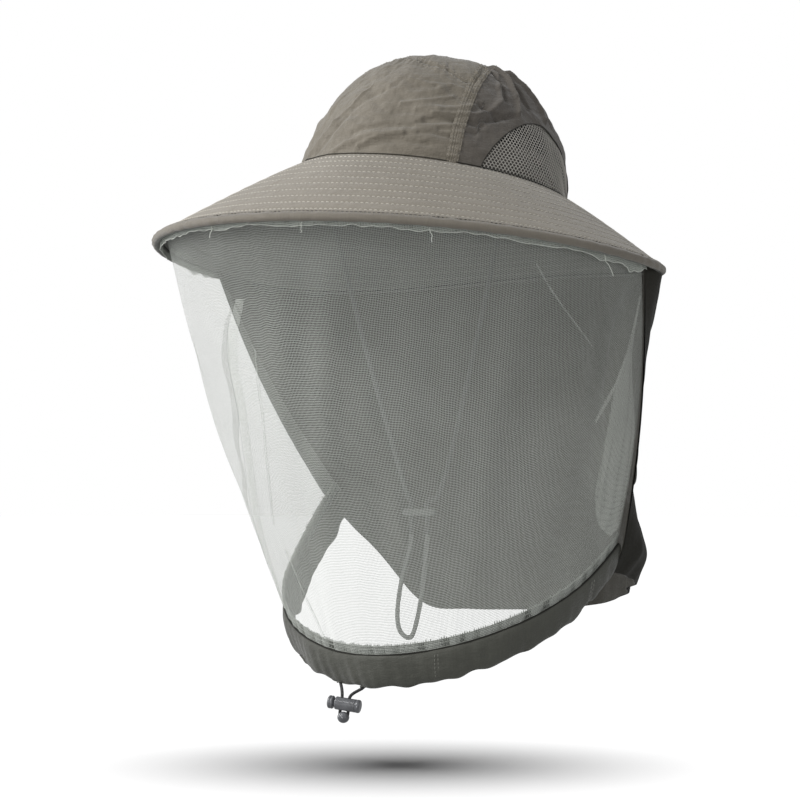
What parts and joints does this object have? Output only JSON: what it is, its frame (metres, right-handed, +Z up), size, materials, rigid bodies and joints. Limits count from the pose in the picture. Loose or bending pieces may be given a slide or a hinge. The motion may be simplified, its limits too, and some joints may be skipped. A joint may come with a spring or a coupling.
{
  "type": "beekeeping veil",
  "caption": "Wide-brimmed sun hat with a see-through insect net in front, a cloth neck cape, a drawcord hem with a cord lock and a chin strap.",
  "frame": {"origin": "middle of the head opening, level with the seam of crown and brim", "axes": "+Z up as worn, -Y the wearer's front, +X the wearer's left"},
  "size_m": [0.3898, 0.3849, 0.4876],
  "materials": {
    "hat_cloth": "thin wrinkled nylon, taupe, slight sheen",
    "brim_cloth": "taupe nylon with rows of light stitching",
    "vent_mesh": "coarse open knitted mesh, dark taupe",
    "lining": "dark woven lining and interlining",
    "net": "fine see-through insect net, pale grey-green",
    "cape_cloth": "dark olive nylon, slight sheen",
    "hem_cloth": "dark grey-olive nylon, slight sheen",
    "overlock": "overlocked seam edge, pale grey-green thread",
    "elastic": "black round braided elastic",
    "strap": "grey flat woven cord",
    "black_plastic": "black moulded plastic, satin",
    "edge_wire": "spring steel wire"
  },
  "bodies": {
    "hat_and_veil": {"crown_front_panel": "hat_cloth", "crown_rear_panel": "hat_cloth", "crown_top_panel": "hat_cloth", "vent_mesh_left": "vent_mesh", "vent_mesh_right": "vent_mesh", "crown_seam_tape_left": "hat_cloth", "crown_seam_tape_right": "hat_cloth", "sweatband": "lining", "brim_stiffener": "lining", "brim_top_ply": "brim_cloth", "brim_bottom_ply": "brim_cloth", "brim_edge_binding": "brim_cloth", "brim_edge_wire": "edge_wire", "net_veil": "net", "neck_cape": "cape_cloth", "hem_sleeve": "hem_cloth", "hem_overlock_band": "overlock", "elastic_drawcord": "elastic", "buttonhole_left": "overlock", "buttonhole_right": "overlock", "cord_end_bead": "black_plastic", "strap_tab_left": "lining", "strap_tab_right": "lining"},
    "chin_strap": {"chin_strap_left": "strap", "chin_strap_right": "strap", "chin_strap_loop": "strap"},
    "strap_slider": {"chin_strap_slider": "black_plastic"},
    "cord_lock": {"cord_lock_barrel": "black_plastic", "cord_lock_spring": "edge_wire"},
    "lock_plunger": {"cord_lock_plunger": "black_plastic"}
  },
  "joints": [
    {"name": "chin_strap_swing", "type": "hinge", "parent": "hat_and_veil", "child": "chin_strap", "pos_m": [0.00253, -0.024, -0.00341], "axis": [0.9841, 0.1777, 0], "range_deg": [-11, 25]},
    {"name": "strap_slider_slide", "type": "slide", "parent": "chin_strap", "child": "strap_slider", "axis": [0, 0, 1], "range_m": [-0.012, 0]},
    {"name": "cord_lock_slide", "type": "slide", "parent": "hat_and_veil", "child": "cord_lock", "axis": [0.124, 0.0632, 0.9903], "range_m": [0, 0.002]},
    {"name": "plunger_press", "type": "slide", "parent": "cord_lock", "child": "lock_plunger", "axis": [0.8823, 0.4496, -0.1392], "range_m": [0, 0.0012], "stiffness_N_per_m": 600}
  ]
}
